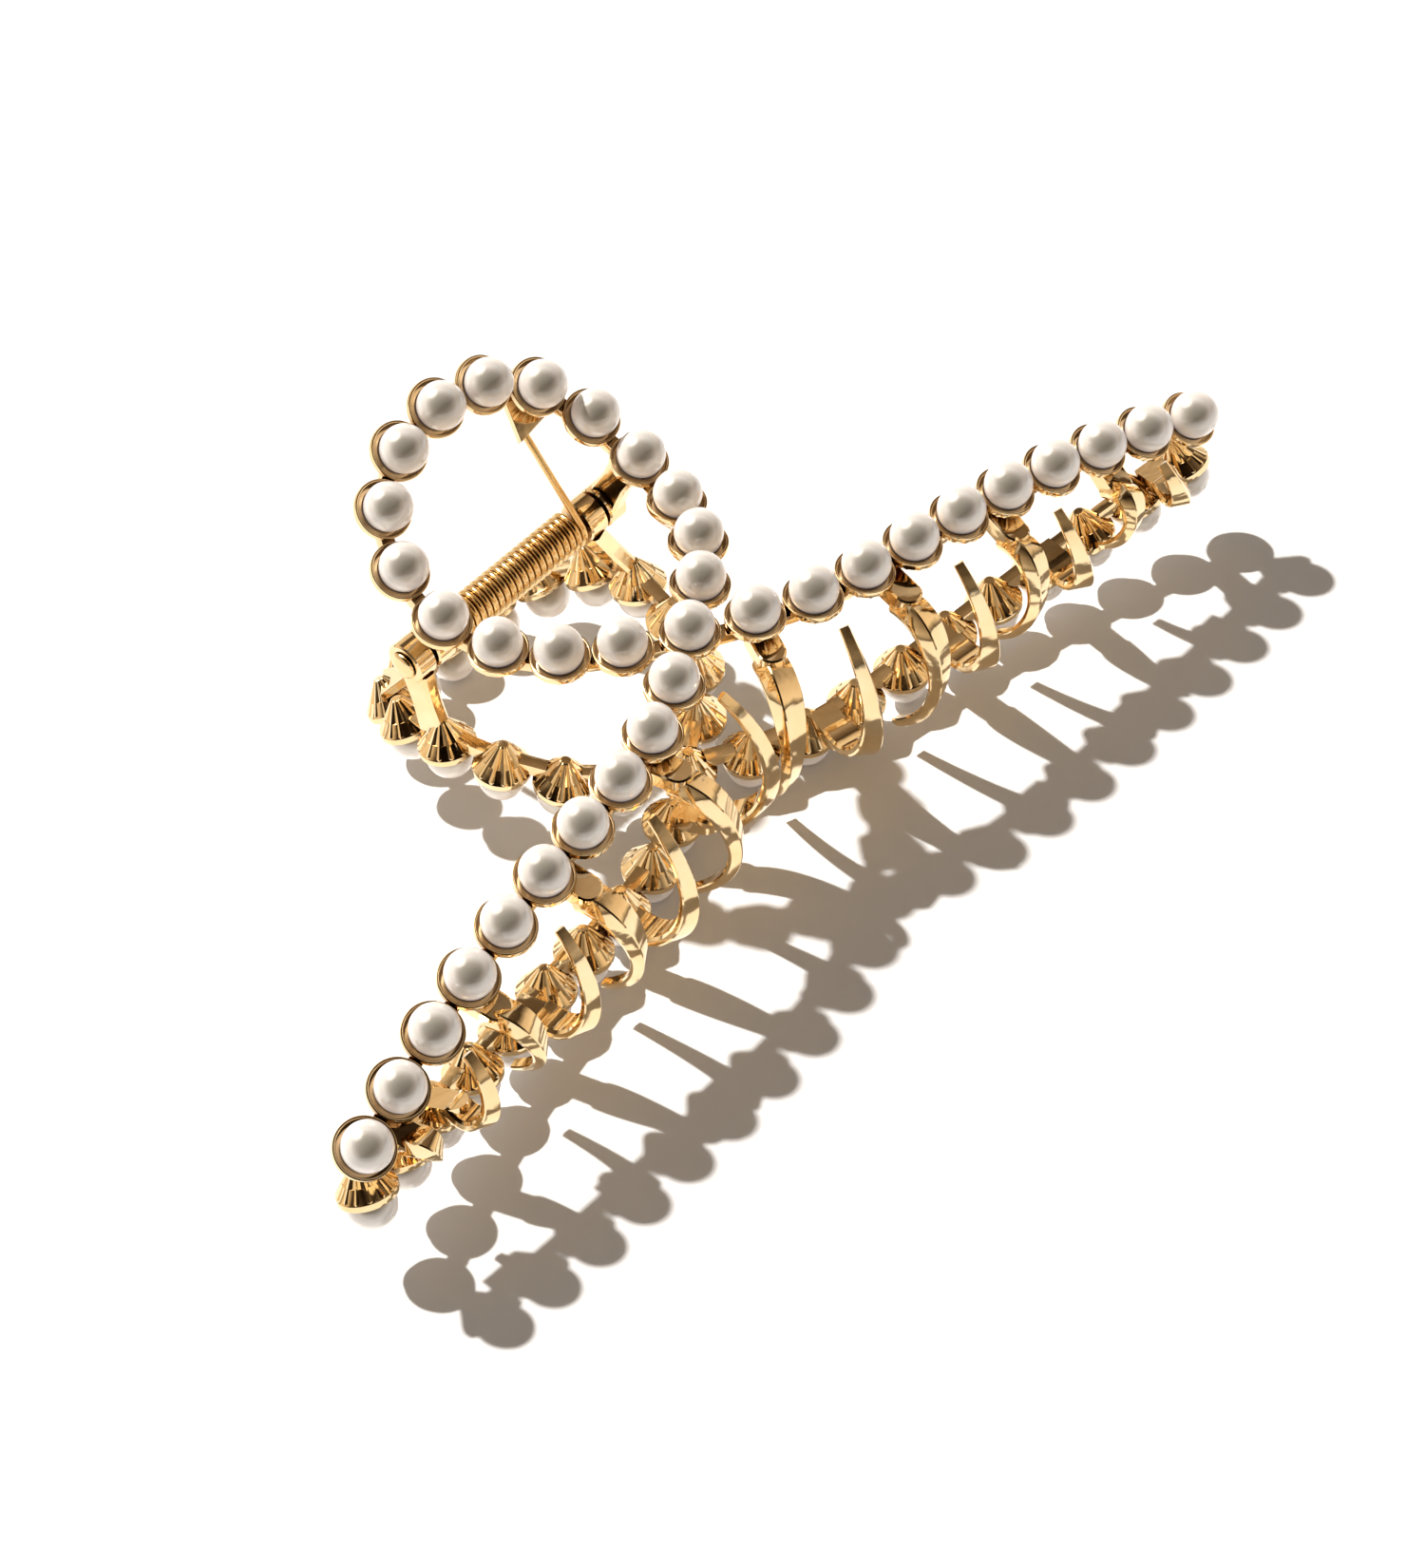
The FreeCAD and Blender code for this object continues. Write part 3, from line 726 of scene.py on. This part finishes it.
def pad_shape():
    """Pointed pad that the spring's leg bears on, with a raised middle."""
    shape = Shape()
    side = "left"
    centre, run, outward = strand_frame(-PAD_STEP, side)
    down = rim_down(-PAD_STEP, side)
    root = below_rim(-PAD_STEP, side, PAD_LEVEL)
    half = PAD_WIDTH / 2
    back = -outward * (PAD_THICKNESS / 2)
    front = outward * (PAD_THICKNESS / 2)
    corners = [run * half, -run * half, down * PAD_LENGTH]
    middle = down * (PAD_LENGTH * 0.3)
    rear = [root + back + corner for corner in corners]
    face = [root + front * 0.4 + corner for corner in corners]
    peak = root + front + middle
    points = rear + face + [peak]
    faces = [[2, 1, 0], [0, 1, 4, 3], [1, 2, 5, 4], [2, 0, 3, 5], [3, 4, 6], [4, 5, 6], [5, 3, 6]]
    shape.add(points, faces)
    return shape


CUP_PLACES = cup_places()
JAW_PIECES = {
    "cups": (cups_shape, 35.0, 0.0),
    "cup_cones": (cones_shape, 12.0, 0.0),
    "bridges": (bridges_shape, 40.0, 0.0),
    "teeth": (teeth_shape, 28.0, 0.0),
    "tooth_tabs": (tabs_shape, 30.0, 0.0),
    "hinge_lugs": (lugs_shape, 30.0, 0.0),
    "spring_pad": (pad_shape, 20.0, 0.07),
}
for piece_name, (make, sharp_angle, bevel) in JAW_PIECES.items():
    shape = make()
    for jaw, place in PLACES.items():
        piece = shape.build(jaw + "_" + piece_name, place, GOLD, sharp_angle, bevel)
        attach(piece, jaw)
        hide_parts(jaw + "_jaw")


# ------------------------------------------------------------------ hinge pin
def pin_piece():
    """The pin with a domed rivet head at each end."""
    shape = Shape()
    reach = EYE_OUTER + EYE_THICKNESS / 2 + 0.15
    dome = 8
    outline = [(0, -reach - PIN_HEAD_HEIGHT)]
    for index in range(1, dome + 1):
        angle = math.pi / 2 * index / dome
        outline.append((PIN_HEAD_RADIUS * math.sin(angle), -reach - PIN_HEAD_HEIGHT * math.cos(angle)))
    outline += [(PIN_HEAD_RADIUS, -reach + 0.02), (PIN_RADIUS, -reach + 0.02)]
    mirrored = [(radius, -height) for radius, height in outline[::-1]]
    turn = Matrix.Rotation(math.pi / 2, 4, "Y")
    shape.lathe(outline + mirrored, 40, turn)
    piece = shape.build("hinge_pin_rivet", PLACES["front"], PIN_GOLD, 35.0)
    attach(piece, "back")
    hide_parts("hinge_pin")


pin_piece()


# ------------------------------------------------------------------ torsion spring
def spring_path():
    """Points along the wire: back leg, close coil round the pin, front leg."""
    centre, run, outward = strand_frame(-PAD_STEP, "left")
    stand_off = PAD_THICKNESS / 2 + WIRE_RADIUS + 0.05
    foot = (below_rim(-PAD_STEP, "left", PAD_LEVEL) + rim_down(-PAD_STEP, "left") * (PAD_LENGTH * 0.6)
            - outward * stand_off)
    slope = math.atan2(foot.z, -foot.y) + math.asin(COIL_RADIUS / math.hypot(foot.y, foot.z))
    sweep = 2 * math.pi * COIL_TURNS + 2 * slope
    start = slope - math.pi / 2
    points_per_turn = 28
    count = int(points_per_turn * sweep / (2 * math.pi))
    coil = []
    for index in range(count + 1):
        share = index / count
        angle = start - sweep * share
        coil.append(Vector((COIL_HALF_LENGTH * (2 * share - 1), COIL_RADIUS * math.cos(angle),
                            COIL_RADIUS * math.sin(angle))))
    leg_points = 14
    front_leg = []
    back_leg = []
    for index in range(1, leg_points + 1):
        point = coil[-1] + (foot - coil[-1]) * (index / leg_points)
        front_leg.append(point)
        back_leg.insert(0, Vector((-point.x, -point.y, point.z)))
    return back_leg + coil + front_leg


def spring_piece():
    """The wire as a round tube, from the back leg round the close coil to the front leg."""
    path = spring_path()
    shape = Shape()
    sections = []
    around = 14
    last = len(path) - 1
    upward = Vector((0, 0, 1))
    for index, point in enumerate(path):
        along = (path[min(index + 1, last)] - path[max(index - 1, 0)]).normalized()
        side_way = along.cross(upward)
        if side_way.length < 1e-3:
            side_way = along.cross(X_AXIS)
        side_way.normalize()
        upward = side_way.cross(along).normalized()
        ring = []
        for turn in range(around):
            angle = 2 * math.pi * turn / around
            ring.append(point + side_way * (WIRE_RADIUS * math.cos(angle))
                        + upward * (WIRE_RADIUS * math.sin(angle)))
        sections.append(ring)
    shape.loft(sections)
    piece = shape.build("torsion_spring_wire", PLACES["front"], WIRE_GOLD, 50.0)
    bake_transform(piece)
    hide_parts("torsion_spring")


spring_piece()

# ------------------------------------------------------------------ carried-over CAD nodes
for name, node in frame["nodes"].items():
    if "_pearls_" in name or "_glue_" in name:
        node.data.materials.clear()
        node.data.materials.append(NACRE if "_pearls_" in name else GLUE)
        weld = node.modifiers.new("weld", "WELD")
        weld.merge_threshold = 0.001 * MM
        for polygon in node.data.polygons:
            polygon.use_smooth = True


# ------------------------------------------------------------------ stage, light and camera
def stage_floor():
    """Plain white table top."""
    data = bpy.data.meshes.new("table_top")
    half = 1.5
    data.from_pydata([(-half, -half, 0), (half, -half, 0), (half, half, 0), (-half, half, 0)], [],
                     [(0, 1, 2, 3)])
    material, tree, shader = new_material("table_white")
    tone = ramp(tree, noise(tree, 30.0), [(0.3, (0.93, 0.93, 0.93)), (0.7, (0.96, 0.96, 0.96))])
    tree.links.new(tone, shader.inputs["Base Color"])
    shader.inputs["Roughness"].default_value = 0.6
    shader.inputs["Specular IOR Level"].default_value = 0.2
    data.materials.append(material)
    floor = bpy.data.objects.new("table_top", data)
    bpy.context.scene.collection.objects.link(floor)


TO_CAMERA = (-0.47, -0.54, 0.69)
PANEL_PLACE = (-0.16, 0.46, 0.87)
PANEL_STRENGTH = 5.0


def toward(tree, direction, outer, inner):
    """How near the ray runs to a direction: 0 beyond the outer angle, 1 inside the inner one, degrees."""
    place = tree.nodes.new("ShaderNodeTexCoord")
    dot = tree.nodes.new("ShaderNodeVectorMath")
    dot.operation = "DOT_PRODUCT"
    dot.inputs[1].default_value = Vector(direction).normalized()
    tree.links.new(place.outputs["Generated"], dot.inputs[0])
    node = tree.nodes.new("ShaderNodeMapRange")
    node.inputs["From Min"].default_value = math.cos(math.radians(outer))
    node.inputs["From Max"].default_value = math.cos(math.radians(inner))
    tree.links.new(dot.outputs["Value"], node.inputs["Value"])
    return node.outputs["Result"]


def world_light():
    """Warm even fill; polished metal sees bright panels among dark walls."""
    world = bpy.data.worlds.new("studio")
    bpy.context.scene.world = world
    world.use_nodes = True
    tree = world.node_tree
    tree.nodes.clear()
    output = tree.nodes.new("ShaderNodeOutputWorld")
    path = tree.nodes.new("ShaderNodeLightPath")
    fill = tree.nodes.new("ShaderNodeBackground")
    fill.inputs["Color"].default_value = (1.0, 0.86, 0.74, 1.0)
    fill.inputs["Strength"].default_value = 0.22
    plain = tree.nodes.new("ShaderNodeBackground")
    plain.inputs["Color"].default_value = (1.0, 1.0, 1.0, 1.0)
    plain.inputs["Strength"].default_value = 1.0
    room = tree.nodes.new("ShaderNodeBackground")
    room.inputs["Strength"].default_value = 1.0
    wall = ramp(tree, toward(tree, (0, 0, 1), 180, 0), [
        (0.0, (1.0, 0.84, 0.62)),
        (0.10, (0.16, 0.09, 0.045)),
        (0.34, (0.03, 0.017, 0.009)),
        (0.50, (0.05, 0.03, 0.015)),
        (0.56, (1.0, 0.82, 0.60)),
        (0.70, (0.75, 0.58, 0.40)),
        (0.78, (0.05, 0.03, 0.015)),
        (0.90, (0.22, 0.15, 0.09)),
        (1.0, (0.55, 0.42, 0.30)),
    ])
    shadow_side = ramp(tree, toward(tree, TO_CAMERA, 62, 30), [
        (0.0, (1.0, 1.0, 1.0)),
        (1.0, (0.05, 0.04, 0.03)),
    ])
    walls = multiplied(tree, wall, shadow_side)
    panel = ramp(tree, toward(tree, PANEL_PLACE, 24, 12), [
        (0.0, (0.0, 0.0, 0.0)),
        (1.0, (1.0, 0.93, 0.82)),
    ])
    brighter = tree.nodes.new("ShaderNodeVectorMath")
    brighter.operation = "MULTIPLY_ADD"
    brighter.inputs[1].default_value = (PANEL_STRENGTH,) * 3
    tree.links.new(panel, brighter.inputs[0])
    tree.links.new(walls, brighter.inputs[2])
    tree.links.new(brighter.outputs["Vector"], room.inputs["Color"])
    by_gloss = tree.nodes.new("ShaderNodeMixShader")
    tree.links.new(path.outputs["Is Glossy Ray"], by_gloss.inputs["Fac"])
    tree.links.new(fill.outputs["Background"], by_gloss.inputs[1])
    tree.links.new(room.outputs["Background"], by_gloss.inputs[2])
    by_camera = tree.nodes.new("ShaderNodeMixShader")
    tree.links.new(path.outputs["Is Camera Ray"], by_camera.inputs["Fac"])
    tree.links.new(by_gloss.outputs["Shader"], by_camera.inputs[1])
    tree.links.new(plain.outputs["Background"], by_camera.inputs[2])
    tree.links.new(by_camera.outputs["Shader"], output.inputs["Surface"])


SUN_TRAVEL = Vector((0.03, -0.61, -0.79))
SUN_STRENGTH = 4.2
SUN_ANGLE = 1.6


def sun_light():
    """Key light from behind the handles; its soft edge gives the crisp long shadow."""
    data = bpy.data.lights.new("key_sun", "SUN")
    data.energy = SUN_STRENGTH
    data.angle = math.radians(SUN_ANGLE)
    data.color = (1.0, 0.97, 0.93)
    lamp = bpy.data.objects.new("key_sun", data)
    lamp.rotation_euler = SUN_TRAVEL.to_track_quat("-Z", "Y").to_euler()
    bpy.context.scene.collection.objects.link(lamp)


CAMERA_PLACE = Vector((-0.2168, -0.2604, 0.3231))
CAMERA_TARGET = Vector((-0.01028, -0.02281, 0.020))
CAMERA_ROLL = 10.13
CAMERA_LENS = 104.73
SENSOR_HEIGHT = 36.0


def view_camera():
    """Camera at the viewing angle, rolled a little about its own axis."""
    data = bpy.data.cameras.new("view")
    data.sensor_fit = "VERTICAL"
    data.sensor_height = SENSOR_HEIGHT
    data.lens = CAMERA_LENS
    camera = bpy.data.objects.new("view", data)
    level = (CAMERA_TARGET - CAMERA_PLACE).to_track_quat("-Z", "Y").to_matrix().to_4x4()
    roll = Matrix.Rotation(math.radians(-CAMERA_ROLL), 4, "Z")
    camera.matrix_world = Matrix.Translation(CAMERA_PLACE) @ level @ roll
    bpy.context.scene.collection.objects.link(camera)
    bpy.context.scene.camera = camera


stage_floor()
world_light()
sun_light()
view_camera()
bpy.context.scene.view_settings.view_transform = "Standard"
